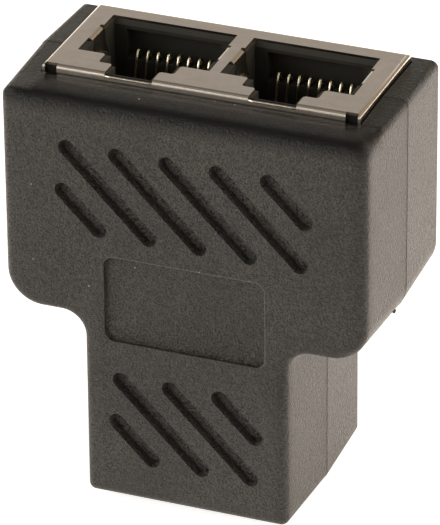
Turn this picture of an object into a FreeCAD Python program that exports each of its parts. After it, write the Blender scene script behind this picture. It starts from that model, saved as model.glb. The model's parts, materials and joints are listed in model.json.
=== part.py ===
import FreeCAD, Part
import math
import os
import re
import Sketcher

# Driving sizes in millimetres, angles in degrees.
# X runs across the head, Y from front to back, Z up from the face of the lower jack.
driving = {
    # sockets: both jacks share one face design
    "port_pitch": 13.97,
    "port_side": 8.445,
    "plate_front": 5.27,
    "plate_back": 8.21,
    "plate_proud": 0.65,
    "jack_spacing": 9.35,
    # folded shield sheet
    "sheet_thick": 0.25,
    "bend_round": 0.4,
    "flange_length": 2.6,
    "flange_inset": 1.43,
    "window_width": 12.34,
    "window_back": 6.3,
    "window_front": 1.55,
    "window_bevel": 0.2,
    "step_width": 7.4,
    "step_front": 3.3,
    "slot_width": 4.65,
    "slot_drop": 0.5,
    "tongue_relief": 0.3,
    "tongue_back": 3.6,
    "tongue_width": 2.6,
    "tongue_reach": 2.4,
    "tongue_lean": 12,
    "tongue_root": 0.6,
    "leg_width": 1.8,
    "leg_depth": 9.2,
    # insulating housing of a jack
    "seat_gap": 0.05,
    "throat_width": 11.9,
    "throat_back": 5.9,
    "throat_front": 1.35,
    "throat_depth": 12.6,
    "foot_depth": 4.0,
    "throat_step": 6.6,
    "throat_slot": 4.1,
    "latch_front": 4.75,
    "latch_wall": 1.7,
    "latch_depth": 9.0,
    "recess_top": 1.0,
    # contact combs and spring wires
    "contact_pitch": 1.02,
    "wire_width": 0.36,
    "wire_thick": 0.26,
    "lane_gap": 0.04,
    "spring_wall": 5.85,
    "hook_top": 3.1,
    "hook_width": 0.45,
    "hook_bevel": 0.15,
    "spring_lean": 17,
    "spring_depth": 11.2,
    "row_cover": 1.3,
    "row_step": 1.3,
    "comb_half": 4.6,
    "comb_front": 5.45,
    "comb_back": 6.95,
    "comb_top": 3.8,
    "comb_foot": 4.9,
    # circuit board
    "board_thick": 1.6,
    "board_inset": 3.0,
    "board_gap": 0.5,
    "tail_out": 1.0,
    "hole_gap": 0.1,
    # moulded shells
    "shell_gap": 0.12,
    "seam_offset": 0.4,
    "tail_gap": 0.36,
    "front_wall": 1.5,
    "rear_wall": 1.47,
    "head_gap": 0.72,
    "head_wall": 1.79,
    "stem_wall": 1.665,
    "end_wall": 1.8,
    "shoulder_rise": 2.79,
    "draft": 1.45,
    "head_corner": 3.5,
    "crotch_round": 2.3,
    "edge_round": 0.75,
    "rear_bevel": 0.55,
    "seam_lip": 0.02,
    # grip grooves and label panel on the front
    "groove_pitch": 4.9,
    "groove_run": 3.95,
    "groove_stub": 0.5,
    "groove_width": 1.6,
    "groove_depth": 0.8,
    "groove_taper": 15,
    "upper_groove_drop": 9.15,
    "lower_groove_rise": 8.8,
    "panel_width": 15.76,
    "panel_height": 8.8,
    "panel_rise": 2.44,
    "panel_corner": 1.0,
    "panel_depth": 0.35,
    # bosses that clamp the board between the shells
    "boss_inset": 3.1,
    "boss_drop": 2.35,
    "boss_size": 3.6,
    "peg_size": 2.2,
    "peg_reach": 4.0,
    "peg_gap": 0.1,
}

# Sizes worked out from the driving ones.
derived = {
    "dual_half": "port_pitch / 2 + port_side",
    "jack_length": "throat_depth + foot_depth",
    "height": "2 * jack_length + jack_spacing",
    "inner_row": "throat_depth + row_cover",
    "outer_row": "inner_row + row_step",
    "board_front": "plate_front + board_thick",
    "tail_end": "board_front + tail_out",
    "cavity_front": "tail_end + tail_gap",
    "cavity_back": "plate_back + shell_gap",
    "front_reach": "cavity_front + front_wall",
    "back_reach": "cavity_back + rear_wall",
    "head_in": "dual_half + head_gap",
    "head_half": "head_in + head_wall",
    "stem_in": "port_side + shell_gap",
    "stem_half": "stem_in + stem_wall",
    "body_bottom": "plate_proud",
    "body_top": "height - plate_proud",
    "head_under": "jack_length + shoulder_rise",
    "shoulder": "head_half - stem_half",
    "ceiling": "body_top - end_wall",
    "stem_floor": "body_bottom + end_wall",
    "head_floor": "head_under + end_wall",
    "boss_across": "head_in - boss_inset",
    "boss_up": "height - jack_length - boss_drop",
    "board_step": "head_floor + board_gap",
    "tongue_edge": "window_width / 2 + tongue_relief",
    "tongue_drop": "tongue_reach - bend_round * (1 - sin(tongue_lean))",
    "tongue_tip": "tongue_edge - bend_round * cos(tongue_lean) - tongue_drop * tan(tongue_lean)",
    "comb_end": "jack_length - sheet_thick - 2 * seat_gap",
    "pocket_half": "comb_half + 2 * seat_gap",
    "lane_wall": "spring_wall - wire_thick / 2",
    "hook_front": "spring_wall - hook_width",
    "leaf_top": "hook_top + hook_bevel",
    "spring_tip": "hook_front - (spring_depth - leaf_top) * tan(spring_lean)",
}

# How far a cutting outline runs past the solid that it cuts.
past = "1"
contact_count = 8
bend_turns = 3

doc = FreeCAD.newDocument("ethernet_splitter_adapter")
sheet = doc.addObject("Spreadsheet::Sheet", "sizes")
for row, (alias, value) in enumerate(driving.items(), start=1):
    sheet.set(f"A{row}", alias)
    sheet.set(f"B{row}", str(value))
    sheet.setAlias(f"B{row}", alias)
doc.recompute()


def bound(text):
    # The same expression with every size pointing at its cell.
    def spell(match):
        word = match.group(0)
        if word in derived:
            return "(" + bound(derived[word]) + ")"
        if word in driving:
            return "sizes." + word
        return word
    return re.sub(r"[a-z_]+", spell, str(text))


def measure(text):
    return float(sheet.evalExpression(bound(text)))


def plane_of(body, role):
    return [item for item in body.Origin.OriginFeatures if item.Role == role][0]


def new_body(name):
    body = doc.addObject("PartDesign::Body", name)
    body.Label = name
    return body


def new_sketch(body, name, role, offset="0"):
    # offset moves the plane along its own normal: XY up, XZ to the front, YZ to the right
    sketch = body.newObject("Sketcher::SketchObject", name)
    sketch.AttachmentSupport = [(plane_of(body, role), "")]
    sketch.MapMode = "FlatFace"
    sketch.setExpression("AttachmentOffset.Base.z", bound(offset))
    return sketch


def tie(sketch, rules):
    # Adds constraints in one go; a rule that ends in a size is tied to the sheet.
    first = sketch.ConstraintCount
    made = []
    for kind, places, size in rules:
        value = (measure(size),) if size else ()
        made.append(Sketcher.Constraint(kind, *places, *value))
    sketch.addConstraint(made)
    for index, (kind, places, size) in enumerate(rules, start=first):
        if size:
            name = f"{kind.lower()}_{index}"
            sketch.renameConstraint(index, name)
            sketch.setExpression("Constraints." + name, bound(size))


def place(item, end, across, up):
    origin = (-1, 1)
    return [("DistanceX", origin + (item, end), across), ("DistanceY", origin + (item, end), up)]


def add_outline(sketch, corners, closed=True):
    # Straight runs between corners given as (across, up) or (across, up, radius).
    spots = [FreeCAD.Vector(measure(c[0]), measure(c[1]), 0) for c in corners]
    count = len(corners)
    runs = count if closed else count - 1
    starts = list(spots)
    ends = list(spots)
    arcs = {}
    for i, corner in enumerate(corners):
        if len(corner) < 3:
            continue
        radius = measure(corner[2])
        to_last = (spots[i - 1] - spots[i]).normalize()
        to_next = (spots[(i + 1) % count] - spots[i]).normalize()
        half = to_last.getAngle(to_next) / 2
        ends[i] = spots[i] + to_last * (radius / math.tan(half))
        starts[i] = spots[i] + to_next * (radius / math.tan(half))
        middle = spots[i] + (to_last + to_next).normalize() * (radius / math.sin(half))
        left_turn = to_next.cross(to_last).z > 0
        first, last = (ends[i], starts[i]) if left_turn else (starts[i], ends[i])
        angles = [math.atan2(p.y - middle.y, p.x - middle.x) for p in (first, last)]
        circle = Part.Circle(middle, FreeCAD.Vector(0, 0, 1), radius)
        arcs[i] = (Part.ArcOfCircle(circle, *angles), left_turn)
    lines = []
    for i in range(runs):
        run = Part.LineSegment(starts[i], ends[(i + 1) % count])
        lines.append(sketch.addGeometry(run, False))
    rules = []
    for i, corner in enumerate(corners):
        before = lines[i - 1] if closed or i > 0 else None
        after = lines[i] if i < runs else None
        if i in arcs:
            arc = sketch.addGeometry(arcs[i][0], False)
            first_end, last_end = (1, 2) if arcs[i][1] else (2, 1)
            mark = sketch.addGeometry(Part.Point(spots[i]), True)
            rules += place(mark, 1, corner[0], corner[1])
            rules.append(("PointOnObject", (mark, 1, before), None))
            rules.append(("PointOnObject", (mark, 1, after), None))
            rules.append(("Tangent", (before, 2, arc, first_end), None))
            rules.append(("Tangent", (arc, last_end, after, 1), None))
            rules.append(("Radius", (arc,), corner[2]))
            continue
        if before is not None and after is not None:
            rules.append(("Coincident", (before, 2, after, 1), None))
        if after is not None:
            rules += place(after, 1, corner[0], corner[1])
        else:
            rules += place(before, 2, corner[0], corner[1])
    tie(sketch, rules)


def add_box(sketch, left, right, low, high):
    add_outline(sketch, [(left, low), (right, low), (right, high), (left, high)])


def add_square(sketch, across, up, side):
    half = f"({side}) / 2"
    add_box(sketch, f"{across} - {half}", f"{across} + {half}", f"{up} - {half}", f"{up} + {half}")


def add_slot(sketch, start, end, width):
    # A round-ended slot between two points.
    spots = [FreeCAD.Vector(measure(p[0]), measure(p[1]), 0) for p in (start, end)]
    radius = measure(width) / 2
    along = (spots[1] - spots[0]).normalize()
    side = FreeCAD.Vector(-along.y, along.x, 0) * radius
    heading = math.atan2(side.y, side.x)
    axis = FreeCAD.Vector(0, 0, 1)
    caps = []
    for spot, turn in zip(spots, (heading, heading + math.pi)):
        cap = Part.ArcOfCircle(Part.Circle(spot, axis, radius), turn, turn + math.pi)
        caps.append(sketch.addGeometry(cap, False))
    lower = sketch.addGeometry(Part.LineSegment(spots[0] - side, spots[1] - side), False)
    upper = sketch.addGeometry(Part.LineSegment(spots[1] + side, spots[0] + side), False)
    rules = [
        ("Tangent", (caps[0], 2, lower, 1), None),
        ("Tangent", (lower, 2, caps[1], 1), None),
        ("Tangent", (caps[1], 2, upper, 1), None),
        ("Tangent", (upper, 2, caps[0], 1), None),
        ("Equal", (caps[0], caps[1]), None),
        ("Radius", (caps[0],), f"({width}) / 2"),
    ]
    rules += place(caps[0], 3, start[0], start[1]) + place(caps[1], 3, end[0], end[1])
    tie(sketch, rules)


def extrude(body, kind, name, sketch, length, back=False, both=False, taper=None):
    # A Pad or Pocket of one sketch; both spreads it evenly to the two sides.
    before = body.Shape.Volume if body.Tip else 0
    feature = body.newObject("PartDesign::" + kind, name)
    feature.Profile = sketch
    feature.setExpression("Length", bound(length))
    feature.Reversed = back
    if both:
        feature.SideType = "Symmetric"
    if taper:
        feature.setExpression("TaperAngle", bound(taper))
    doc.recompute()
    change = feature.Shape.Volume - before
    if abs(change) < 1e-6 or (change > 0) != (kind == "Pad"):
        raise ValueError(f"{body.Label}.{name} changed the volume by {change}")
    return feature


def edge_names(shape, wanted):
    # Names of the edges whose middle passes the test.
    names = []
    for number, edge in enumerate(shape.Edges, start=1):
        middle = edge.valueAt((edge.FirstParameter + edge.LastParameter) / 2)
        if wanted(middle):
            names.append(f"Edge{number}")
    return names


def dress(body, kind, name, base, edges, size):
    # A Fillet or Chamfer of some edges of the last feature.
    feature = body.newObject("PartDesign::" + kind, name)
    feature.Base = (base, edges)
    feature.setExpression("Radius" if kind == "Fillet" else "Size", bound(size))
    doc.recompute()
    return feature


def near(value, text):
    return abs(value - measure(text)) < 1e-4


def seat(body, across="0", flipped=False):
    # Stands a jack's piece in the head, mouth up, or under the stem, mouth down.
    if flipped:
        body.Placement.Rotation = FreeCAD.Rotation(FreeCAD.Vector(0, 1, 0), 180)
    body.setExpression("Placement.Base.x", bound(across))
    body.setExpression("Placement.Base.z", bound("0" if flipped else "height"))


def tee(half_stem, half_head, low, step, high):
    # Corners of a T, from the stem's lower right round to its lower left.
    half = [(half_stem, low), (half_stem, step), (half_head, step), (half_head, high)]
    mirrored = [(f"-({across})", up) for across, up in reversed(half)]
    return half + mirrored


def add_grooves(sketch, middle, long_count):
    # Slanted grip grooves about one height, with a half-length one at each end.
    for index in range(long_count):
        across = f"{index - (long_count - 1) / 2} * groove_pitch"
        start = (f"{across} - groove_run", f"{middle} + groove_run")
        end = (f"{across} + groove_run", f"{middle} - groove_run")
        add_slot(sketch, start, end, "groove_width")
    for way in ("-", ""):
        across = f"{way}{(long_count + 1) / 2} * groove_pitch"
        other = "" if way else "-"
        outer = (f"{across} {other or '+'} groove_stub", f"{middle} {way or '+'} groove_stub")
        inner = (f"{across} {other or '+'} groove_run", f"{middle} {way or '+'} groove_run")
        add_slot(sketch, outer, inner, "groove_width")


def make_shell(name, front):
    # One moulded half: a drafted T with rounded edges, hollowed from the seam.
    body = new_body(name)
    seam = "-seam_offset"
    reach = "front_reach + seam_offset" if front else "back_reach - seam_offset"
    hollow = "cavity_front + seam_offset" if front else "cavity_back - seam_offset"
    mouth = "plate_front + shell_gap + seam_offset" if front else hollow
    outline = new_sketch(body, name + "_outline", "XZ_Plane", seam)
    # the rear half stands a hair proud, which shows as the seam line
    lip = "0" if front else "seam_lip"
    sides = (f"stem_half + {lip}", f"head_half + {lip}")
    levels = (f"body_bottom - {lip}", f"head_under - {lip}", f"body_top + {lip}")
    add_outline(outline, tee(*sides, *levels))
    block = extrude(body, "Pad", name + "_block", outline, reach, back=not front, taper="-draft")

    face_at = "-(front_reach)" if front else "back_reach"
    middle = measure("(stem_half + head_half) / 2")

    def is_rim(spot):
        return near(spot.y, face_at)

    def is_shoulder(spot, outer):
        between = not is_rim(spot) and not near(spot.y, "seam_offset")
        level = abs(spot.z - measure("head_under")) < measure("edge_round")
        return between and level and (abs(spot.x) > middle) == outer

    def is_end(spot):
        between = not is_rim(spot) and not near(spot.y, "seam_offset")
        return between and not measure("stem_floor") < spot.z < measure("ceiling")

    last = block
    for step, outer, size in (
        ("_corners", True, "min(head_corner; shoulder * 0.55)"),
        ("_crotches", False, "min(crotch_round; shoulder * 0.43)"),
    ):
        picked = edge_names(last.Shape, lambda spot: is_shoulder(spot, outer))
        last = dress(body, "Fillet", name + step, last, picked, size)
    if front:
        picked = edge_names(last.Shape, lambda spot: is_rim(spot) or is_end(spot))
        dress(body, "Fillet", name + "_edges", last, picked, "edge_round")
    else:
        last = dress(body, "Fillet", name + "_ends", last, edge_names(last.Shape, is_end), "edge_round")
        dress(body, "Chamfer", name + "_edges", last, edge_names(last.Shape, is_rim), "rear_bevel")

    inside = new_sketch(body, name + "_inside", "XZ_Plane", seam)
    add_outline(inside, tee("stem_in", "head_in", "stem_floor", "head_floor", "ceiling"))
    extrude(body, "Pocket", name + "_hollow", inside, hollow, back=front)

    mouths = new_sketch(body, name + "_mouths", "XZ_Plane", seam)
    wide = "dual_half + shell_gap"
    add_box(mouths, f"-({wide})", wide, f"ceiling - {past}", f"body_top + {past}")
    add_box(mouths, "-(stem_in)", "stem_in", f"body_bottom - {past}", f"stem_floor + {past}")
    extrude(body, "Pocket", name + "_openings", mouths, mouth, back=front)
    return body


def make_front_shell():
    body = make_shell("front_shell", front=True)
    stands = new_sketch(body, "front_stands", "XZ_Plane", "cavity_front")
    pegs = new_sketch(body, "front_pegs", "XZ_Plane", "cavity_front")
    for way in ("-", ""):
        add_square(stands, f"{way}(boss_across)", "boss_up", "boss_size")
        add_square(pegs, f"{way}(boss_across)", "boss_up", "peg_size")
    extrude(body, "Pad", "front_bosses", stands, "tail_out + tail_gap", back=True)
    peg_length = "tail_out + tail_gap + board_thick + peg_reach"
    extrude(body, "Pad", "front_peg_pins", pegs, peg_length, back=True)

    panel = new_sketch(body, "label_panel", "XZ_Plane", "front_reach")
    middle = "head_under + panel_rise"
    half = "panel_width / 2"
    low = f"{middle} - panel_height / 2"
    high = f"{middle} + panel_height / 2"
    corners = [(f"-{half}", low), (half, low), (half, high), (f"-{half}", high)]
    add_outline(panel, [corner + ("panel_corner",) for corner in corners])
    extrude(body, "Pocket", "label_recess", panel, "panel_depth")

    grooves = new_sketch(body, "grip_grooves", "XZ_Plane", "front_reach")
    add_grooves(grooves, "body_top - upper_groove_drop", 4)
    add_grooves(grooves, "body_bottom + lower_groove_rise", 2)
    extrude(body, "Pocket", "grip_pockets", grooves, "groove_depth", taper="-groove_taper")
    return body


def make_rear_shell():
    body = make_shell("rear_shell", front=False)
    bosses = new_sketch(body, "rear_bosses", "XZ_Plane", "-(cavity_back)")
    sockets = new_sketch(body, "rear_sockets", "XZ_Plane", "plate_front")
    for way in ("-", ""):
        add_square(bosses, f"{way}(boss_across)", "boss_up", "boss_size")
        add_square(sockets, f"{way}(boss_across)", "boss_up", "peg_size + 2 * peg_gap")
    extrude(body, "Pad", "rear_boss_posts", bosses, "cavity_back + plate_front")
    extrude(body, "Pocket", "rear_peg_sockets", sockets, "peg_reach + 2 * peg_gap")
    return body


def window_corners(centre, near_edge):
    # The socket's window: wide part with tongue reliefs, latch step, latch slot.
    half = "window_width / 2"
    relief_back = "tongue_back + 2 * window_bevel"
    side = [
        (half, "window_back"),
        (half, relief_back),
        ("tongue_edge", relief_back),
        ("tongue_edge", "-window_front"),
        ("step_width / 2 + window_bevel", "-window_front"),
        ("step_width / 2", "-(window_front + window_bevel)"),
        ("step_width / 2", "-(step_front - window_bevel)"),
        ("step_width / 2 - window_bevel", "-step_front"),
        ("slot_width / 2 + window_bevel", "-step_front"),
        ("slot_width / 2", "-(step_front + window_bevel)"),
        ("slot_width / 2", near_edge),
    ]
    right = [(f"{centre} + {c[0]}",) + c[1:] for c in side]
    left = [(f"{centre} - ({c[0]})",) + c[1:] for c in reversed(side)]
    return right + left


def tongue_corners(centre, way):
    # Bent spring tongue, seen from the front: plate root, bend in equal turns, leaning leaf.
    outer = []
    inner = []
    for turn in range(bend_turns + 1):
        angle = f"{turn} / {bend_turns} * (90 - tongue_lean)"
        for row, radius in ((outer, "bend_round"), (inner, "(bend_round - sheet_thick)")):
            row.append((f"tongue_edge - {radius} * sin({angle})", f"{radius} * cos({angle}) - bend_round"))
    root = "tongue_edge + tongue_root"
    leaf = [
        ("tongue_tip", "-tongue_reach"),
        ("tongue_tip + sheet_thick / cos(tongue_lean)", "-tongue_reach"),
    ]
    places = [(root, "0")] + outer + leaf + inner[::-1] + [(root, "-sheet_thick")]
    return [(f"{centre} {way} ({c[0]})", c[1]) for c in places]


def make_shield(name, half, centres):
    # Folded sheet: face plate with bends, side, back and rear walls, short front flange.
    body = new_body(name)
    block = new_sketch(body, name + "_face", "XY_Plane")
    add_box(block, f"-({half})", half, "-plate_front", "plate_back")
    solid = extrude(body, "Pad", name + "_block", block, "jack_length", back=True)

    bends = edge_names(solid.Shape, lambda spot: near(spot.z, "0"))
    dress(body, "Fillet", name + "_bends", solid, bends, "bend_round")

    inner = f"{half} - sheet_thick"
    open_side = new_sketch(body, name + "_open_side", "XZ_Plane", "plate_front")
    add_box(open_side, f"-({inner})", inner, "-(jack_length - sheet_thick)", "-flange_length")
    extrude(body, "Pocket", name + "_hollow", open_side, "plate_front + plate_back - sheet_thick")
    behind = new_sketch(body, name + "_behind_flange", "XZ_Plane", "plate_front - sheet_thick")
    add_box(behind, f"-({inner})", inner, "-flange_length", "-sheet_thick")
    extrude(body, "Pocket", name + "_mouth", behind, "plate_front + plate_back - 2 * sheet_thick")

    notches = new_sketch(body, name + "_notches", "XZ_Plane", "plate_front")
    for way in ("-", ""):
        edges = [f"{way}({half} - flange_inset)", f"{way}({inner})"]
        add_box(notches, *(edges if not way else edges[::-1]), "-flange_length", past)
    extrude(body, "Pocket", name + "_flange_ends", notches, "bend_round")

    windows = new_sketch(body, name + "_windows", "XY_Plane")
    for centre in centres:
        add_outline(windows, window_corners(centre, f"-(plate_front + {past})"))
    extrude(body, "Pocket", name + "_window_cuts", windows, "slot_drop")

    tongues = new_sketch(body, name + "_tongues", "XZ_Plane", "-tongue_back")
    for centre in centres:
        for way in ("-", "+"):
            add_outline(tongues, tongue_corners(centre, way))
    extrude(body, "Pad", name + "_tongue_leaves", tongues, "tongue_width")

    legs = new_sketch(body, name + "_legs", "XZ_Plane", "plate_front")
    low = "-(leg_depth + leg_width / 2)"
    high = "-(leg_depth - leg_width / 2)"
    add_box(legs, f"-({half})", f"-({inner})", low, high)
    add_box(legs, inner, half, low, high)
    extrude(body, "Pad", name + "_leg_tabs", legs, "board_thick + tail_out")
    return body


def throat_corners(centre):
    # The plug's way in: wide throat, latch step and narrow latch slot.
    side = [
        ("throat_width / 2", "throat_back"),
        ("throat_width / 2", "-throat_front"),
        ("throat_step / 2", "-throat_front"),
        ("throat_step / 2", "-step_front"),
        ("throat_slot / 2", "-step_front"),
        ("throat_slot / 2", "-latch_front"),
    ]
    right = [(f"{centre} + {c[0]}", c[1]) for c in side]
    left = [(f"{centre} - {c[0]}", c[1]) for c in reversed(side)]
    return right + left


def make_housing(name, half, centres):
    # Insulator: block inside the shield, with a throat, latch pocket and comb seat per socket.
    body = new_body(name)
    face = "-sheet_thick"
    block = new_sketch(body, name + "_block_face", "XY_Plane", face)
    outer = f"{half} - sheet_thick - seat_gap"
    add_box(block, f"-({outer})", outer, "-plate_front", "plate_back - sheet_thick - seat_gap")
    extrude(body, "Pad", name + "_block", block, "jack_length - 2 * sheet_thick - seat_gap", back=True)

    rebate = new_sketch(body, name + "_rebate", "XZ_Plane", "plate_front")
    add_box(rebate, f"-({half})", half, "-(flange_length + seat_gap)", past)
    extrude(body, "Pocket", name + "_flange_rebate", rebate, "sheet_thick + seat_gap")

    throats = new_sketch(body, name + "_throats", "XY_Plane", face)
    catches = new_sketch(body, name + "_catches", "XY_Plane", "-latch_wall")
    seats = new_sketch(body, name + "_seats", "XY_Plane", "-throat_depth")
    recesses = new_sketch(body, name + "_recesses", "XY_Plane", "-recess_top")
    reliefs = new_sketch(body, name + "_reliefs", "XY_Plane", face)
    for centre in centres:
        add_outline(throats, throat_corners(centre))
        add_box(catches, f"{centre} - throat_step / 2", f"{centre} + throat_step / 2",
                "-latch_front", "-step_front + seat_gap")
        left = f"{centre} - (pocket_half)"
        right = f"{centre} + pocket_half"
        add_box(seats, left, right, f"-(plate_front + {past})", "comb_back")
        add_box(recesses, left, right, "throat_back - seat_gap", "comb_back")
        relief_in = "throat_width / 2 - seat_gap"
        relief_out = "tongue_edge + sheet_thick + 2 * seat_gap"
        relief_near = "tongue_back - tongue_width - 2 * seat_gap"
        relief_far = "tongue_back + 2 * seat_gap"
        add_box(reliefs, f"{centre} - ({relief_out})", f"{centre} - ({relief_in})", relief_near, relief_far)
        add_box(reliefs, f"{centre} + {relief_in}", f"{centre} + {relief_out}", relief_near, relief_far)
    extrude(body, "Pocket", name + "_throat_cuts", throats, "throat_depth - sheet_thick")
    extrude(body, "Pocket", name + "_latch_catches", catches, "latch_depth - latch_wall")
    extrude(body, "Pocket", name + "_comb_seats", seats, "foot_depth")
    extrude(body, "Pocket", name + "_comb_recesses", recesses, "throat_depth - recess_top + seat_gap")
    last = extrude(body, "Pocket", name + "_tongue_reliefs", reliefs, "tongue_reach + seat_gap")

    def is_lead_in(spot):
        return near(spot.z, face) and near(spot.y, "throat_back")

    dress(body, "Chamfer", name + "_lead_in", last, edge_names(last.Shape, is_lead_in),
          "window_back - throat_back")
    return body


def lane_corners(row):
    # The lane of one wire round the back and the foot of a comb, open outwards.
    bottom = f"-({row} - wire_thick / 2)"
    outside = f"-(comb_end + {past})"
    return [
        ("lane_wall", f"-(comb_top - {past})"),
        ("lane_wall", bottom),
        (f"-(comb_foot + {past})", bottom),
        (f"-(comb_foot + {past})", outside),
        (f"comb_back + {past}", outside),
        (f"comb_back + {past}", f"-(comb_top - {past})"),
    ]


def make_carrier(name, across, flipped):
    # Comb that holds a socket's wires: leaf behind the springs, foot under the throat.
    body = new_body(name)
    profile = new_sketch(body, name + "_profile", "YZ_Plane")
    add_outline(profile, [
        ("comb_front", "-comb_top"),
        ("comb_back", "-comb_top"),
        ("comb_back", "-(comb_end)"),
        ("-comb_foot", "-(comb_end)"),
        ("-comb_foot", "-(throat_depth + seat_gap)"),
        ("comb_front", "-(throat_depth + seat_gap)"),
    ])
    extrude(body, "Pad", name + "_block", profile, "2 * comb_half", both=True)
    for first, row in (("3.5", "outer_row"), ("2.5", "inner_row")):
        lane = new_sketch(body, f"{name}_lane_{row}", "YZ_Plane", f"-{first} * contact_pitch")
        add_outline(lane, lane_corners(row))
        cut = extrude(body, "Pocket", f"{name}_cut_{row}", lane, "wire_width + 2 * lane_gap", both=True)
        pattern = body.newObject("PartDesign::LinearPattern", f"{name}_lanes_{row}")
        pattern.Originals = [cut]
        pattern.Direction = (plane_of(body, "X_Axis"), [""])
        pattern.setExpression("Length", bound(f"{contact_count - 2} * contact_pitch"))
        pattern.Occurrences = contact_count // 2
        body.Tip = pattern
        doc.recompute()
    seat(body, across, flipped)
    return body


def make_contact(name, row, across, flipped):
    # One spring wire: tail through the board, run behind the comb, hook, springing leaf.
    body = new_body(name)
    route = new_sketch(body, name + "_route", "YZ_Plane")
    add_outline(route, [
        ("-(tail_end)", f"-{row}"),
        ("spring_wall", f"-{row}"),
        ("spring_wall", "-hook_top"),
        ("hook_front + hook_bevel", "-hook_top"),
        ("hook_front", "-(leaf_top)"),
        ("spring_tip", "-spring_depth"),
    ], closed=False)
    section = new_sketch(body, name + "_section", "XZ_Plane", "tail_end")
    add_box(section, "-wire_width / 2", "wire_width / 2",
            f"-({row} + wire_thick / 2)", f"-({row} - wire_thick / 2)")
    wire = body.newObject("PartDesign::AdditivePipe", name + "_wire")
    wire.Profile = section
    wire.Spine = (route, [])
    wire.Transition = "Right corner"
    seat(body, across, flipped)
    doc.recompute()
    return body


def wire_places(centre, flipped):
    # Row and place across of each wire of a socket, counted from its left end.
    places = []
    for index in range(contact_count):
        step = index - (contact_count - 1) / 2
        row = "outer_row" if (index % 2 == 0) != flipped else "inner_row"
        places.append((row, f"{centre} + {step} * contact_pitch"))
    return places


def make_board():
    # T-shaped board with holes for wires and pegs, and edge notches for the shield legs.
    body = new_body("circuit_board")
    outline = new_sketch(body, "board_outline", "XZ_Plane", "plate_front")
    add_outline(outline, tee("port_side", "dual_half", "board_inset", "board_step", "height - board_inset"))
    extrude(body, "Pad", "board_sheet", outline, "board_thick")

    for name, (centre, flipped) in sockets.items():
        level = "" if flipped else "height - "
        holes = new_sketch(body, name + "_holes", "XZ_Plane", "plate_front")
        for row, across in wire_places(centre, flipped):
            add_square(holes, across, level + row, "wire_width + 2 * hole_gap")
        extrude(body, "Pocket", name + "_hole_cuts", holes, "board_thick", back=True)
    pegs = new_sketch(body, "peg_holes", "XZ_Plane", "plate_front")
    for way in ("-", ""):
        add_square(pegs, f"{way}(boss_across)", "boss_up", "peg_size + 2 * peg_gap")
    extrude(body, "Pocket", "peg_hole_cuts", pegs, "board_thick", back=True)

    notches = new_sketch(body, "leg_notches", "XZ_Plane", "plate_front")
    reach = "leg_width / 2 + hole_gap"
    for half, middle in (("port_side", "leg_depth"), ("dual_half", "height - leg_depth")):
        inner = f"{half} - sheet_thick - hole_gap"
        outer = f"{half} + {past}"
        low = f"{middle} - ({reach})"
        high = f"{middle} + {reach}"
        add_box(notches, inner, outer, low, high)
        add_box(notches, f"-({outer})", f"-({inner})", low, high)
    extrude(body, "Pocket", "leg_notch_cuts", notches, "board_thick", back=True)
    return body


left_port = "-port_pitch / 2"
right_port = "port_pitch / 2"
sockets = {"left": (left_port, False), "right": (right_port, False), "lower": ("0", True)}

nodes = [make_front_shell(), make_rear_shell()]
for name, half, centres, flipped in (
    ("dual_jack", "dual_half", [left_port, right_port], False),
    ("lower_jack", "port_side", ["0"], True),
):
    for piece in (make_shield(name + "_shield", half, centres), make_housing(name + "_housing", half, centres)):
        seat(piece, flipped=flipped)
        nodes.append(piece)
for name, (centre, flipped) in sockets.items():
    nodes.append(make_carrier(name + "_contact_carrier", centre, flipped))
    for number, (row, across) in enumerate(wire_places(centre, flipped), start=1):
        nodes.append(make_contact(f"{name}_contact_{number}", row, across, flipped))
nodes.append(make_board())
doc.recompute()

for item in doc.Objects:
    if "Invalid" in item.State or "Error" in item.State:
        raise RuntimeError(f"{item.Label} failed: {item.State}")
for node in nodes:
    if node.Shape.isNull() or not node.Shape.isValid() or len(node.Shape.Solids) != 1:
        raise RuntimeError(f"{node.Label} is not one valid solid")

os.makedirs("parts", exist_ok=True)
for node in nodes:
    node.Shape.exportStep(f"parts/{node.Label}.step")
print(f"{len(nodes)} pieces written")
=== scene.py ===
import json
import math
import bpy
import numpy as np
from mathutils import Matrix, Vector


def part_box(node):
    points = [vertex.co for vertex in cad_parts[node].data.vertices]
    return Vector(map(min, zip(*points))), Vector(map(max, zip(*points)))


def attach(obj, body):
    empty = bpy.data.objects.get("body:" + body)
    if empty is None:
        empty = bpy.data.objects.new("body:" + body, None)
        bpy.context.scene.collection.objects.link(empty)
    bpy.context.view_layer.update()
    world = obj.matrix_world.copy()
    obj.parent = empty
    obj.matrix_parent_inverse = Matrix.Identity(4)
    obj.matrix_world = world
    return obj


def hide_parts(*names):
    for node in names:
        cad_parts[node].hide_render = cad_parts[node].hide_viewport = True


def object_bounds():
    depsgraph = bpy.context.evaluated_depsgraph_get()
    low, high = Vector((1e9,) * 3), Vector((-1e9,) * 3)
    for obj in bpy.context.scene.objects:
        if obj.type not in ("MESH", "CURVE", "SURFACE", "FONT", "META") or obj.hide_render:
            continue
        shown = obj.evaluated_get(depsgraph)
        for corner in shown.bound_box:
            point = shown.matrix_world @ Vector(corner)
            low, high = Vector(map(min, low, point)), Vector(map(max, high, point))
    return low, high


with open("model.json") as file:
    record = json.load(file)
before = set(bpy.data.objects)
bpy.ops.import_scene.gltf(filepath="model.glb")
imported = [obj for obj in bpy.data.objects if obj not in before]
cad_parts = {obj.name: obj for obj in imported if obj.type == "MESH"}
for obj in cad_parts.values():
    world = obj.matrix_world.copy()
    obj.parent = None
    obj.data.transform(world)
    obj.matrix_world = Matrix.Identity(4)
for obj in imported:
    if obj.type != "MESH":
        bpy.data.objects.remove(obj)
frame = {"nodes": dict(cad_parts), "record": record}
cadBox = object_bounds()
nodes = frame["nodes"]
mm = 0.001
print("frame loaded:", len(nodes), "nodes")


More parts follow.
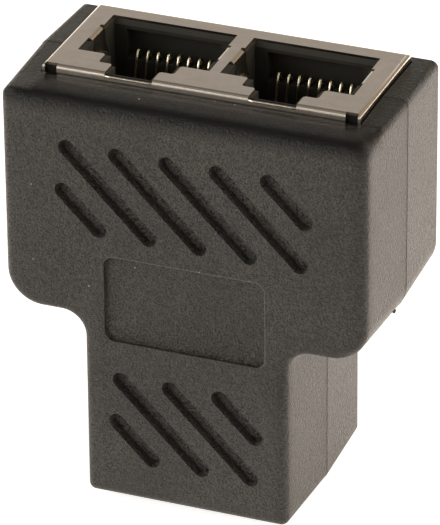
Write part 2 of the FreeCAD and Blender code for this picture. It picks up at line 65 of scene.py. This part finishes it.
# helpers for node trees
def addNode(tree, kind, values=None, **settings):
    # values go on input sockets by name or number, settings on the node itself
    node = tree.nodes.new(kind)
    for key, value in settings.items():
        setattr(node, key, value)
    for key, value in (values or {}).items():
        if isinstance(value, bpy.types.NodeSocket):
            tree.links.new(value, node.inputs[key])
        else:
            node.inputs[key].default_value = value
    return node


def emptyMaterial(name):
    material = bpy.data.materials.new(name)
    material.use_nodes = True
    material.node_tree.nodes.clear()
    return material, material.node_tree


def newMaterial(name):
    material, tree = emptyMaterial(name)
    shader = addNode(tree, "ShaderNodeBsdfPrincipled")
    addNode(tree, "ShaderNodeOutputMaterial", {0: shader.outputs[0]})
    return material, tree, shader


def objectPlace(tree, scale=(1, 1, 1), turn=(0, 0, 0)):
    place = addNode(tree, "ShaderNodeTexCoord").outputs["Object"]
    return addNode(tree, "ShaderNodeMapping", {"Vector": place, "Scale": scale, "Rotation": turn}).outputs[0]


def placeAxes(tree):
    # across, back and up, in metres
    return addNode(tree, "ShaderNodeSeparateXYZ", {0: objectPlace(tree)}).outputs


def noise(tree, place, scale, detail, rough):
    values = {"Vector": place, "Scale": scale, "Detail": detail, "Roughness": rough}
    return addNode(tree, "ShaderNodeTexNoise", values).outputs[0]


def spread(tree, value, low, high, toLow, toHigh):
    # straight map of one range onto another, held at its ends
    values = {"Value": value, "From Min": low, "From Max": high, "To Min": toLow, "To Max": toHigh}
    return addNode(tree, "ShaderNodeMapRange", values).outputs[0]


def combine(tree, kind, first, second):
    return addNode(tree, "ShaderNodeMath", {0: first, 1: second}, operation=kind).outputs[0]


def blendValue(tree, share, first, second):
    return addNode(tree, "ShaderNodeMix", {0: share, 2: first, 3: second}).outputs[0]


def blendColour(tree, share, first, second):
    return addNode(tree, "ShaderNodeMix", {0: share, 6: first, 7: second}, data_type="RGBA").outputs[2]


def addBump(tree, shader, height, strength, depth, normal=None):
    # depth in metres; the normal, where one is given, is what the bump starts from
    values = {"Height": height, "Strength": strength, "Distance": depth}
    if normal is not None:
        values["Normal"] = normal
    tree.links.new(addNode(tree, "ShaderNodeBump", values).outputs[0], shader.inputs["Normal"])


def nearSpots(tree, place, spots, core):
    # 1 in the core share of small balls given as (x, y, z, radius) in millimetres, 0 outside them
    mask = 0.0
    for x, y, z, radius in spots:
        middle = (x * mm, y * mm, z * mm)
        away = addNode(tree, "ShaderNodeVectorMath", {0: place, 1: middle}, operation="DISTANCE").outputs[1]
        mask = combine(tree, "MAXIMUM", mask, spread(tree, away, radius * core * mm, radius * mm, 1, 0))
    return mask


# soft moulded edges round the front's outline, in metres: a wide head over a narrow stem
shellLow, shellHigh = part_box("front_shell")
softRim = {
    "radius": 0.0025,
    "samples": 8,
    "top": shellHigh[2],
    # half width and lower end
    "head": (cadBox[1][0], 0.01939),
    "stem": (0.01023, shellLow[2]),
    # distances inside the outline and back from the front between which the softness goes out
    "inset": (0.0024, 0.0030),
    "front": (-0.0067, -0.0061),
}


def rimNormal(tree, axes):
    # normal averaged over a small ball near the outline, plain elsewhere
    x, y, z = axes
    side = combine(tree, "ABSOLUTE", x, 0.0)
    below = combine(tree, "SUBTRACT", softRim["top"], z)
    insets = []
    for half, foot in (softRim["head"], softRim["stem"]):
        across = combine(tree, "SUBTRACT", half, side)
        above = combine(tree, "SUBTRACT", z, foot)
        insets.append(combine(tree, "MINIMUM", combine(tree, "MINIMUM", across, above), below))
    near = spread(tree, combine(tree, "MAXIMUM", *insets), *softRim["inset"], 1, 0)
    share = combine(tree, "MULTIPLY", near, spread(tree, y, *softRim["front"], 1, 0))
    plain = addNode(tree, "ShaderNodeNewGeometry").outputs["Normal"]
    rounded = addNode(tree, "ShaderNodeBevel", {"Radius": softRim["radius"]}, samples=softRim["samples"])
    mixed = addNode(tree, "ShaderNodeMix", {0: share, 4: plain, 5: rounded.outputs[0]}, data_type="VECTOR")
    return addNode(tree, "ShaderNodeVectorMath", {0: mixed.outputs[1]}, operation="NORMALIZE").outputs[0]


# painted highlight along the label panel's edge, on its top and its right side, in metres
panelHighlightEdge = {
    "middle": 0.02183,
    "half": (0.00788, 0.0044),
    "corner": 0.001,
    # distances from the panel's outline, and fronts, between which the line goes out or comes in
    "line": (0.00005, 0.00012),
    "front": (-0.0094, -0.0096),
    # where it comes in, across and up from the panel's middle
    "right": (0.0073, 0.0078),
    "up": (0.0036, 0.0042),
}


def panelHighlightLine(tree, axes):
    # distance from a rounded rectangle: length of what is past its inner box, less the corner's radius
    x, y, z = axes
    up = combine(tree, "SUBTRACT", z, panelHighlightEdge["middle"])
    past = []
    for along, half in zip((x, up), panelHighlightEdge["half"]):
        inner = half - panelHighlightEdge["corner"]
        past.append(combine(tree, "SUBTRACT", combine(tree, "ABSOLUTE", along, 0.0), inner))
    outside = {i: combine(tree, "MAXIMUM", value, 0.0) for i, value in enumerate(past)}
    corner = addNode(tree, "ShaderNodeCombineXYZ", outside).outputs[0]
    length = addNode(tree, "ShaderNodeVectorMath", {0: corner}, operation="LENGTH").outputs[1]
    inside = combine(tree, "MINIMUM", combine(tree, "MAXIMUM", *past), 0.0)
    away = combine(tree, "SUBTRACT", combine(tree, "ADD", length, inside), panelHighlightEdge["corner"])
    # painted highlight: a thin line along the outline, kept to the top and right edges
    line = spread(tree, combine(tree, "ABSOLUTE", away, 0.0), *panelHighlightEdge["line"], 1, 0)
    right = spread(tree, x, *panelHighlightEdge["right"], 0, 1)
    upper = spread(tree, up, *panelHighlightEdge["up"], 0, 1)
    line = combine(tree, "MULTIPLY", line, combine(tree, "MAXIMUM", right, upper))
    return combine(tree, "MULTIPLY", line, spread(tree, y, *panelHighlightEdge["front"], 0, 1))


# grained charcoal plastic of the two shells
shellPlastic = {
    "dark": (0.0220, 0.0209, 0.0193, 1),
    "light": (0.0720, 0.0684, 0.0632, 1),
    "pit": (0.0100, 0.0092, 0.0082, 1),
    # dark tone of the polished band, also used as painted shade on the rounded front rim and on the strip
    # right of the plate
    "polishedToneAndShade": (0.0045, 0.0043, 0.0039, 1),
    "dust": (0.32, 0.30, 0.27, 1),
    # colour of the painted highlight on the label panel's top and right edge
    "panelHighlight": (0.125, 0.120, 0.111, 1),
    # noises: scale, detail, roughness
    "fine": (4800, 2.0, 0.6),
    "lumps": (2400, 2.0, 0.5),
    "pits": (5760, 1.0, 0.5),
    "cloud": (90, 3.0, 0.55),
    "pitRange": (0.44, 0.32),
    "pitDepth": 0.3,
    # share of the fine noise in the grain, and of the grain in the tone
    "fineShare": 0.6,
    "grainShare": 0.75,
    "grainDepth": 0.00025,
    "grainStrength": 1.0,
    "toneRange": (0.40, 0.60),
    "roughRange": (0.35, 0.65),
    "rough": (0.34, 0.48),
    "specular": 0.37,
    "polishedRough": 0.17,
    "polishedGrain": 0.12,
    # heights and fronts between which the polish and the dark tone come in, in metres; the dark tone is
    # partly the polished band's own and partly painted shade, reaching lower than the polish over the
    # rounded front rim
    "bandTop": (0.0408, 0.0415),
    "shadeTop": (0.0397, 0.0410),
    "bandFront": (-0.0042, -0.0055),
    "bandSide": (-0.0168, -0.0146),
    "rimFront": (-0.0084, -0.0092),
    # the strip right of the plate is painted darker as shade, standing in for the dark surroundings it
    # reflects, but keeps its grain
    "stripSide": (0.0146, 0.0158),
    "stripShadeShare": 0.6,
    # specks of dust (x, y, z, radius), in millimetres, and the share of the radius that is full
    "specks": [(-14.88, -9.73, 32.36, 0.11), (-14.90, -9.73, 24.57, 0.10), (-9.36, -9.73, 22.81, 0.12),
               (-4.90, -9.38, 25.40, 0.10), (1.56, -9.73, 26.31, 0.10), (6.46, -9.73, 26.28, 0.08),
               (-5.0, -7.46, 41.72, 0.13), (1.60, -5.60, 41.78, 0.10), (3.55, -5.62, 41.78, 0.10)],
    "speckCore": 0.6,
}


def makeShellPlastic():
    look = shellPlastic
    material, tree, shader = newMaterial("shellPlastic")
    place = objectPlace(tree)
    axes = placeAxes(tree)
    x, y, z = axes
    # the band in front of the plate is polished: most of the grain goes there
    left = spread(tree, x, *look["bandSide"], 0, 1)
    within = combine(tree, "MAXIMUM", left, spread(tree, y, *look["rimFront"], 0, 1))
    front = combine(tree, "MULTIPLY", spread(tree, y, *look["bandFront"], 0, 1), within)
    band = combine(tree, "MULTIPLY", spread(tree, z, *look["bandTop"], 0, 1), front)
    # painted shade: the dark tone over the band, over the rounded front rim and on the strip right of the
    # plate
    strip = spread(tree, x, *look["stripSide"], 0, look["stripShadeShare"])
    paintedShade = combine(tree, "MAXIMUM", front, strip)
    paintedShade = combine(tree, "MULTIPLY", paintedShade, spread(tree, z, *look["shadeTop"], 0, 1))
    lumps = noise(tree, place, *look["lumps"])
    grain = blendValue(tree, look["fineShare"], lumps, noise(tree, place, *look["fine"]))
    pits = spread(tree, noise(tree, place, *look["pits"]), *look["pitRange"], 0, 1)
    height = combine(tree, "SUBTRACT", grain, combine(tree, "MULTIPLY", pits, look["pitDepth"]))
    height = combine(tree, "MULTIPLY", height, spread(tree, band, 0, 1, 1, look["polishedGrain"]))
    addBump(tree, shader, height, look["grainStrength"], look["grainDepth"], rimNormal(tree, axes))
    tone = blendValue(tree, look["grainShare"], noise(tree, place, *look["cloud"]), grain)
    colour = blendColour(tree, spread(tree, tone, *look["toneRange"], 0, 1), look["dark"], look["light"])
    colour = blendColour(tree, pits, colour, look["pit"])
    # partly the polished band's own dark tone, partly painted shade
    colour = blendColour(tree, paintedShade, colour, look["polishedToneAndShade"])
    # painted highlight along the label panel's top and right edge
    colour = blendColour(tree, panelHighlightLine(tree, axes), colour, look["panelHighlight"])
    dusty = nearSpots(tree, place, look["specks"], look["speckCore"])
    tree.links.new(blendColour(tree, dusty, colour, look["dust"]), shader.inputs["Base Color"])
    rough = spread(tree, grain, *look["roughRange"], *look["rough"])
    tree.links.new(blendValue(tree, band, rough, look["polishedRough"]), shader.inputs["Roughness"])
    shader.inputs["Specular IOR Level"].default_value = look["specular"]
    return material


# satin plated sheet of the shields
shieldSheet = {
    "deep": (0.64, 0.583, 0.52, 1),
    "pale": (0.72, 0.66, 0.59, 1),
    # noises: scale, detail, roughness
    "rolled": (900, 3.0, 0.6),
    "cloud": (700, 4.0, 0.7),
    "rollStretch": (0.06, 1, 1),
    "rollShare": 0.3,
    "rollStrength": 0.12,
    "rollDepth": 0.00002,
    "toneRange": (0.35, 0.65),
    # from deep to pale
    "rough": (0.23, 0.16),
    # the flange in front is duller, in metres where it comes in
    "flangeRough": 0.29,
    "flangeFront": (-0.00521, -0.00526),
}


def makeShieldSheet():
    look = shieldSheet
    material, tree, shader = newMaterial("shieldSheet")
    rolled = noise(tree, objectPlace(tree, scale=look["rollStretch"]), *look["rolled"])
    cloud = noise(tree, objectPlace(tree), *look["cloud"])
    share = spread(tree, blendValue(tree, look["rollShare"], cloud, rolled), *look["toneRange"], 0, 1)
    tree.links.new(blendColour(tree, share, look["deep"], look["pale"]), shader.inputs["Base Color"])
    flange = spread(tree, placeAxes(tree)[1], *look["flangeFront"], 0, 1)
    rough = spread(tree, share, 0, 1, *look["rough"])
    tree.links.new(blendValue(tree, flange, rough, look["flangeRough"]), shader.inputs["Roughness"])
    shader.inputs["Metallic"].default_value = 1.0
    addBump(tree, shader, rolled, look["rollStrength"], look["rollDepth"])
    return material


# smooth black insulator of housings and combs
jackPlastic = {
    "dark": (0.0260, 0.0246, 0.0200, 1),
    "light": (0.0420, 0.0396, 0.0322, 1),
    # noises: scale, detail, roughness
    "flow": (420, 3.0, 0.55),
    "grain": (1500, 2.0, 0.5),
    "grainStrength": 0.15,
    "grainDepth": 0.00002,
    "roughRange": (0.3, 0.7),
    "rough": (0.49, 0.63),
    "specular": 0.28,
    # front wall painted darker as shade of the gap it sits in, seen only through the sheet's corner cuts,
    # and where it comes in, in metres
    "wall": (0.0035, 0.0031, 0.0026, 1),
    "shadedWallFront": (-0.0046, -0.0050),
}


def makeJackPlastic():
    look = jackPlastic
    material, tree, shader = newMaterial("jackPlastic")
    place = objectPlace(tree)
    flow = noise(tree, place, *look["flow"])
    # painted shade on the front wall seen through the sheet's corner cuts
    wall = spread(tree, placeAxes(tree)[1], *look["shadedWallFront"], 0, 1)
    colour = blendColour(tree, flow, look["dark"], look["light"])
    tree.links.new(blendColour(tree, wall, colour, look["wall"]), shader.inputs["Base Color"])
    rough = spread(tree, flow, *look["roughRange"], *look["rough"])
    tree.links.new(rough, shader.inputs["Roughness"])
    addBump(tree, shader, noise(tree, place, *look["grain"]), look["grainStrength"], look["grainDepth"])
    shader.inputs["Specular IOR Level"].default_value = look["specular"]
    return material


# gilt of the spring wires
giltWire = {
    "deep": (0.88, 0.77, 0.56, 1),
    "pale": (0.95, 0.87, 0.68, 1),
    # noise: scale, detail, roughness
    "drawn": (2400, 2.0, 0.5),
    "drawStretch": (1, 0.2, 0.2),
    "roughRange": (0.3, 0.7),
    "rough": (0.17, 0.30),
}


def makeGiltWire():
    look = giltWire
    material, tree, shader = newMaterial("giltWire")
    drawn = noise(tree, objectPlace(tree, scale=look["drawStretch"]), *look["drawn"])
    tree.links.new(blendColour(tree, drawn, look["deep"], look["pale"]), shader.inputs["Base Color"])
    rough = spread(tree, drawn, *look["roughRange"], *look["rough"])
    tree.links.new(rough, shader.inputs["Roughness"])
    shader.inputs["Metallic"].default_value = 1.0
    return material


# coated laminate of the board
boardLaminate = {
    "deep": (0.015, 0.085, 0.038, 1),
    "pale": (0.030, 0.150, 0.065, 1),
    "weaveTurn": (0, 0.785, 0),
    "weaveScale": 700,
    "weaveWander": 1.5,
    # noise: scale, detail, roughness
    "haze": (300, 2.0, 0.5),
    "roughRange": (0.3, 0.7),
    "rough": (0.28, 0.42),
}


def makeBoardLaminate():
    look = boardLaminate
    material, tree, shader = newMaterial("boardLaminate")
    values = {"Vector": objectPlace(tree, turn=look["weaveTurn"]), "Scale": look["weaveScale"],
              "Distortion": look["weaveWander"]}
    weave = addNode(tree, "ShaderNodeTexWave", values, wave_type="BANDS").outputs[0]
    tree.links.new(blendColour(tree, weave, look["deep"], look["pale"]), shader.inputs["Base Color"])
    haze = noise(tree, objectPlace(tree), *look["haze"])
    tree.links.new(spread(tree, haze, *look["roughRange"], *look["rough"]), shader.inputs["Roughness"])
    return material


finishes = {
    "shell": makeShellPlastic(),
    "shield": makeShieldSheet(),
    "housing": makeJackPlastic(),
    "contact": makeGiltWire(),
    "board": makeBoardLaminate(),
}
for part in frame["record"]["subparts"]:
    mesh = nodes[part["node"]].data
    mesh.materials.clear()
    mesh.materials.append(finishes[part["material_slot"]])


# rounded edges of the carried-over nodes shade softly, edges sharper than this stay crisp
softShade = {"merge": 1e-6, "crispAngle": math.radians(32)}


def makeSoftShade():
    # joins the loose triangles, then marks every face smooth and every sharp edge crisp
    group = bpy.data.node_groups.new("softShade", "GeometryNodeTree")
    group.interface.new_socket("Geometry", in_out="INPUT", socket_type="NodeSocketGeometry")
    group.interface.new_socket("Geometry", in_out="OUTPUT", socket_type="NodeSocketGeometry")
    given = addNode(group, "NodeGroupInput").outputs[0]
    values = {"Geometry": given, "Distance": softShade["merge"]}
    joined = addNode(group, "GeometryNodeMergeByDistance", values).outputs[0]
    values = {"Geometry": joined, "Shade Smooth": True}
    smooth = addNode(group, "GeometryNodeSetShadeSmooth", values, domain="FACE").outputs[0]
    fold = addNode(group, "GeometryNodeInputMeshEdgeAngle").outputs[0]
    sharp = combine(group, "GREATER_THAN", fold, softShade["crispAngle"])
    values = {"Geometry": smooth, "Selection": sharp, "Shade Smooth": False}
    crisp = addNode(group, "GeometryNodeSetShadeSmooth", values, domain="EDGE").outputs[0]
    addNode(group, "NodeGroupOutput", {0: crisp})
    return group


softGroup = makeSoftShade()
for node in nodes.values():
    node.modifiers.new("softShade", "NODES").node_group = softGroup
    weighted = node.modifiers.new("flatFaces", "WEIGHTED_NORMAL")
    weighted.keep_sharp = True
print("shading softened")


def ringMesh(name, rings):
    # rings is an array (along, around, xyz): neighbouring rings are joined by quads, both ends are capped
    along, around = rings.shape[:2]
    here = np.arange(along - 1)[:, None] * around + np.arange(around)[None, :]
    side = np.arange(along - 1)[:, None] * around + (np.arange(around)[None, :] + 1) % around
    quads = np.stack([here, side, side + around, here + around], axis=-1).reshape(-1, 4)
    caps = [np.arange(around)[::-1], np.arange(around) + (along - 1) * around]
    # the first quad's normal has to point away from the middle of its ring
    corner = rings.reshape(-1, 3)[quads[0]]
    normal = np.cross(corner[1] - corner[0], corner[3] - corner[0])
    if np.dot(normal, corner[0] - rings[0].mean(axis=0)) < 0:
        quads = quads[:, ::-1]
        caps = [cap[::-1] for cap in caps]
    mesh = bpy.data.meshes.new(name)
    mesh.from_pydata(rings.reshape(-1, 3).tolist(), [], quads.tolist() + [cap.tolist() for cap in caps])
    mesh.shade_smooth()
    piece = bpy.data.objects.new(name, mesh)
    bpy.context.scene.collection.objects.link(piece)
    return piece


def dressPiece(piece, slot):
    piece.data.materials.append(finishes[slot])
    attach(piece, "root")


def readSocket(name):
    # middle across in millimetres, from the comb that holds its wires, and whether its mouth looks down
    low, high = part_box(f"{name}_contact_carrier")
    return (low[0] + high[0]) / 2 / mm, name == "lower"


sockets = {name: readSocket(name) for name in ("left", "right", "lower")}
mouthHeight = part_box("dual_jack_shield")[1][2] / mm


# drawn spring wires of the three sockets, in millimetres
springWire = {
    "width": 0.25,
    "thick": 0.25,
    # section: points around, and the power that makes it a rounded box
    "around": 14,
    "boxPower": 0.6,
    "wall": 6.4,
    "hookRadius": 0.33,
    "hookTop": 2.95,
    # lean of the leaf in degrees at lengths from the hook
    "leanAt": (0.0, 0.5, 1.1, 12.0),
    "lean": (34, 27, 12, 12),
    "tipDepth": 11.2,
    "tailFront": -7.87,
    "footRadius": 0.5,
    "rows": (15.2, 13.9),
    "pitch": 1.02,
    "count": 8,
    # points along each stretch
    "tailPoints": 6,
    "footPoints": 9,
    "wallPoints": 8,
    "hookPoints": 19,
    # leaf near the hook and further on: first length, last length, points
    "leafNear": (0.1, 2.0, 20),
    "leafFar": (2.4, 12.0, 25),
}


def wireLine(row):
    # centre line as (back, depth): tail, quarter turn, wall, hook turn of 180 degrees less the first lean,
    # leaf summed up from short steps along the changing lean
    wall = springWire["wall"]
    foot = springWire["footRadius"]
    hook = springWire["hookRadius"]
    top = springWire["hookTop"] + hook
    quarter = np.linspace(0, math.pi / 2, springWire["footPoints"])
    turn = np.linspace(0, math.pi - math.radians(springWire["lean"][0]), springWire["hookPoints"])
    tail = np.linspace((springWire["tailFront"], row), (wall - foot, row), springWire["tailPoints"])[:-1]
    bend = np.stack([wall - foot + foot * np.sin(quarter), row - foot + foot * np.cos(quarter)], axis=1)
    rise = np.linspace((wall, row - foot), (wall, top), springWire["wallPoints"])[1:-1]
    over = np.stack([wall - hook + hook * np.cos(turn), top - hook * np.sin(turn)], axis=1)
    away = np.concatenate([np.linspace(*springWire["leafNear"]), np.linspace(*springWire["leafFar"])])
    lean = np.radians(np.interp(away, springWire["leanAt"], springWire["lean"]))
    step = np.diff(away, prepend=0)[:, None] * np.stack([-np.sin(lean), np.cos(lean)], axis=1)
    leaf = over[-1] + np.cumsum(step, axis=0)
    leaf = leaf[leaf[:, 1] <= springWire["tipDepth"]]
    return np.concatenate([tail, bend, rise, over, leaf])


def boxRound(wave):
    # cosine or sine drawn out towards its ends, which turns a circle into a rounded box
    return np.sign(wave) * np.abs(wave) ** springWire["boxPower"]


def makeSpringWires():
    # section: rounded box from cosine and sine of one angle, carried square to the line
    angle = np.linspace(0, 2 * math.pi, springWire["around"], endpoint=False)
    across = boxRound(np.cos(angle)) * springWire["width"] / 2
    through = boxRound(np.sin(angle)) * springWire["thick"] / 2
    for socket, (middle, down) in sockets.items():
        for index in range(springWire["count"]):
            line = wireLine(springWire["rows"][(index + down) % 2])
            along = np.gradient(line, axis=0)
            along /= np.linalg.norm(along, axis=1, keepdims=True)
            square = np.stack([-along[:, 1], along[:, 0]], axis=1)
            flat = line[:, None, :] + square[:, None, :] * through[None, :, None]
            place = middle + (index - (springWire["count"] - 1) / 2) * springWire["pitch"]
            x = np.broadcast_to(place + across, flat.shape[:2])
            z = flat[..., 1] if down else mouthHeight - flat[..., 1]
            wire = ringMesh(f"{socket}SpringWire{index + 1}", np.stack([x, flat[..., 0], z], axis=-1) * mm)
            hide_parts(f"{socket}_contact_{index + 1}")
            dressPiece(wire, "contact")


makeSpringWires()
print("spring wires made:", len(sockets) * springWire["count"])


# rolled edge of the shield under each latch slot, in millimetres
slotLip = {
    "length": 4.85,
    "radius": 0.11,
    "front": -5.15,
    "drop": 0.39,
    "along": 9,
    "around": 16,
}


def makeSlotLips():
    # round bar across the slot: cosine and sine of one angle for its section
    angle = np.linspace(0, 2 * math.pi, slotLip["around"], endpoint=False)
    back = slotLip["front"] + slotLip["radius"] * np.cos(angle)
    depth = slotLip["drop"] + slotLip["radius"] * np.sin(angle)
    for socket, (middle, down) in sockets.items():
        reach = middle + np.linspace(-0.5, 0.5, slotLip["along"]) * slotLip["length"]
        x, y = np.meshgrid(reach, back, indexing="ij")
        z = np.broadcast_to(depth if down else mouthHeight - depth, x.shape)
        dressPiece(ringMesh(f"{socket}SlotLip", np.stack([x, y, z], axis=-1) * mm), "shield")


makeSlotLips()
print("slot lips made:", len(sockets))


# chip of moulding flash on the head's lower right corner, in millimetres
flashChip = {
    "place": (17.35, -1.2, 20.95),
    "size": (0.16, 0.26, 0.20),
    "rows": 11,
    "around": 18,
    # angle left open at each pole, closed by a cap
    "poleGap": 0.12,
    # wave on the girth: height, lobes around, their turn, half waves from pole to pole
    "lump": 0.3,
    "lobes": 3,
    "lobeTurn": 0.7,
    "halfWaves": 2,
}


def makeFlashChip():
    # egg: sine of one angle for the girth, cosine for the height, girth varied by a three-lobed wave
    polar = np.linspace(flashChip["poleGap"], math.pi - flashChip["poleGap"], flashChip["rows"])[:, None]
    girth = np.linspace(0, 2 * math.pi, flashChip["around"], endpoint=False)[None, :]
    lobes = np.sin(flashChip["lobes"] * girth + flashChip["lobeTurn"])
    swell = 1 + flashChip["lump"] * lobes * np.sin(flashChip["halfWaves"] * polar)
    shape = np.stack([np.sin(polar) * np.cos(girth) * swell, np.sin(polar) * np.sin(girth) * swell,
                      np.cos(polar) * np.ones_like(girth)], axis=-1)
    chip = ringMesh("flashChip", (np.array(flashChip["place"]) + shape * np.array(flashChip["size"])) * mm)
    dressPiece(chip, "shell")


makeFlashChip()
print("flash chip made")


# floor, light and surroundings
studio = {
    "floorSide": 6.0,
    "floorColour": (0.80, 0.79, 0.77, 1),
    # how bright the camera sees the floor
    "floorGlow": 0.80,
    # what reflections see of it in front and behind, and where one passes into the other, in metres
    "frontGlow": (0.55, 0.505, 0.46, 1),
    "backGlow": (2.02, 1.80, 1.61, 1),
    "glowBack": (-0.03, 0.02),
    # height on the sky (sine of elevation) and its colour there
    "sky": [(0.0, (1.10, 1.03, 0.94, 1)), (0.22, (0.86, 0.80, 0.73, 1)), (0.40, (0.50, 0.462, 0.413, 1)),
            (0.48, (0.40, 0.37, 0.33, 1)), (0.60, (0.19, 0.176, 0.157, 1)), (1.0, (0.17, 0.158, 0.14, 1))],
    # dim warm corner behind on the right, and how far across and back it comes in
    "corner": (0.36, 0.28, 0.19, 1),
    "cornerAcross": (-0.2, 0.15),
    "cornerBack": (0.0, 0.3),
    # dim room in front, and how far back it goes out
    "room": (0.28, 0.262, 0.235, 1),
    "roomBack": (-0.2, 0.1),
    # name: (place, width, height, glow, colour), all aimed at the object's middle
    "lamps": {
        "rightSide": ((0.90, 0.25, 0.48), 1.3, 0.8, 2.4, (1.0, 0.92, 0.82)),
        "frontLeft": ((-0.34, -0.86, 0.55), 0.8, 0.36, 0.46, (1.0, 0.93, 0.80)),
        "lowLeft": ((-0.87, -0.65, 0.34), 0.95, 0.62, 4.6, (1.0, 0.96, 0.90)),
    },
    "aim": (0, 0, 0.02),
}


def makeFloor():
    corners = np.array([(-1, -1, 0), (1, -1, 0), (1, 1, 0), (-1, 1, 0)]) * studio["floorSide"] / 2
    mesh = bpy.data.meshes.new("floor")
    mesh.from_pydata(corners.tolist(), [], [(0, 1, 2, 3)])
    floor = bpy.data.objects.new("floor", mesh)
    bpy.context.scene.collection.objects.link(floor)
    material, tree = emptyMaterial("paleFloor")
    ray = addNode(tree, "ShaderNodeLightPath").outputs
    seen = combine(tree, "MAXIMUM", ray["Is Camera Ray"], ray["Is Glossy Ray"])
    seen = combine(tree, "MAXIMUM", seen, ray["Is Transmission Ray"])
    behind = spread(tree, placeAxes(tree)[1], *studio["glowBack"], 0, 1)
    shine = blendColour(tree, behind, studio["frontGlow"], studio["backGlow"])
    shine = blendColour(tree, ray["Is Camera Ray"], shine, (studio["floorGlow"],) * 3 + (1,))
    glow = addNode(tree, "ShaderNodeEmission", {"Color": shine, "Strength": seen})
    matte = addNode(tree, "ShaderNodeBsdfDiffuse", {"Color": studio["floorColour"]})
    total = addNode(tree, "ShaderNodeAddShader", {0: glow.outputs[0], 1: matte.outputs[0]})
    addNode(tree, "ShaderNodeOutputMaterial", {0: total.outputs[0]})
    mesh.materials.append(material)


def makeSky():
    world = bpy.data.worlds.new("studio")
    bpy.context.scene.world = world
    world.use_nodes = True
    tree = world.node_tree
    tree.nodes.clear()
    heading = addNode(tree, "ShaderNodeTexCoord").outputs["Generated"]
    x, y, z = addNode(tree, "ShaderNodeSeparateXYZ", {0: heading}).outputs
    ramp = addNode(tree, "ShaderNodeValToRGB", {0: z})
    stops = ramp.color_ramp.elements
    for index, (height, colour) in enumerate(studio["sky"]):
        stop = stops[index] if index < 2 else stops.new(height)  # a new ramp has two stops
        stop.position = height
        stop.color = colour
    across = spread(tree, x, *studio["cornerAcross"], 0, 1)
    corner = combine(tree, "MULTIPLY", across, spread(tree, y, *studio["cornerBack"], 0, 1))
    colour = blendColour(tree, corner, ramp.outputs[0], studio["corner"])
    colour = blendColour(tree, spread(tree, y, *studio["roomBack"], 1, 0), colour, studio["room"])
    glow = addNode(tree, "ShaderNodeBackground", {"Color": colour, "Strength": 1.0})
    addNode(tree, "ShaderNodeOutputWorld", {0: glow.outputs[0]})


def makeLamps():
    for name, (place, width, height, glow, colour) in studio["lamps"].items():
        light = bpy.data.lights.new(name, "AREA")
        light.shape = "RECTANGLE"
        light.size = width
        light.size_y = height
        light.energy = glow * math.pi * width * height  # watts that give this glow on the lamp's face
        light.color = colour
        lamp = bpy.data.objects.new(name, light)
        bpy.context.scene.collection.objects.link(lamp)
        lamp.location = place
        lamp.rotation_euler = (Vector(studio["aim"]) - Vector(place)).to_track_quat("-Z", "Y").to_euler()


makeFloor()
makeSky()
makeLamps()
bpy.context.scene.view_settings.view_transform = "Standard"
print("studio lit")


# camera, fitted to the photograph's frame of 440 by 525
photoCamera = {
    "place": (0.15420, -0.38825, 0.24837),
    "azimuth": 21.4495,
    "elevation": 28.4169,
    "roll": 0.4257,
    "lens": 350.93,
    "sensor": 36,
    "shift": (-0.03674, -0.00436),
    "clip": (0.01, 20),
}


def makeCamera():
    azimuth, elevation, roll = (math.radians(photoCamera[k]) for k in ("azimuth", "elevation", "roll"))
    level = math.cos(elevation)
    back = Vector((math.sin(azimuth) * level, -math.cos(azimuth) * level, math.sin(elevation)))
    right = Vector((math.cos(azimuth), math.sin(azimuth), 0))
    up = back.cross(right)
    # roll turns right towards down
    rolledRight = right * math.cos(roll) - up * math.sin(roll)
    rolledUp = up * math.cos(roll) + right * math.sin(roll)
    data = bpy.data.cameras.new("photoCamera")
    data.sensor_width = photoCamera["sensor"]
    data.lens = photoCamera["lens"]
    data.shift_x, data.shift_y = photoCamera["shift"]
    data.clip_start, data.clip_end = photoCamera["clip"]
    camera = bpy.data.objects.new("photoCamera", data)
    bpy.context.scene.collection.objects.link(camera)
    turn = Matrix((rolledRight, rolledUp, back)).transposed()
    camera.matrix_world = Matrix.Translation(photoCamera["place"]) @ turn.to_4x4()
    bpy.context.scene.camera = camera


makeCamera()
print("camera placed")
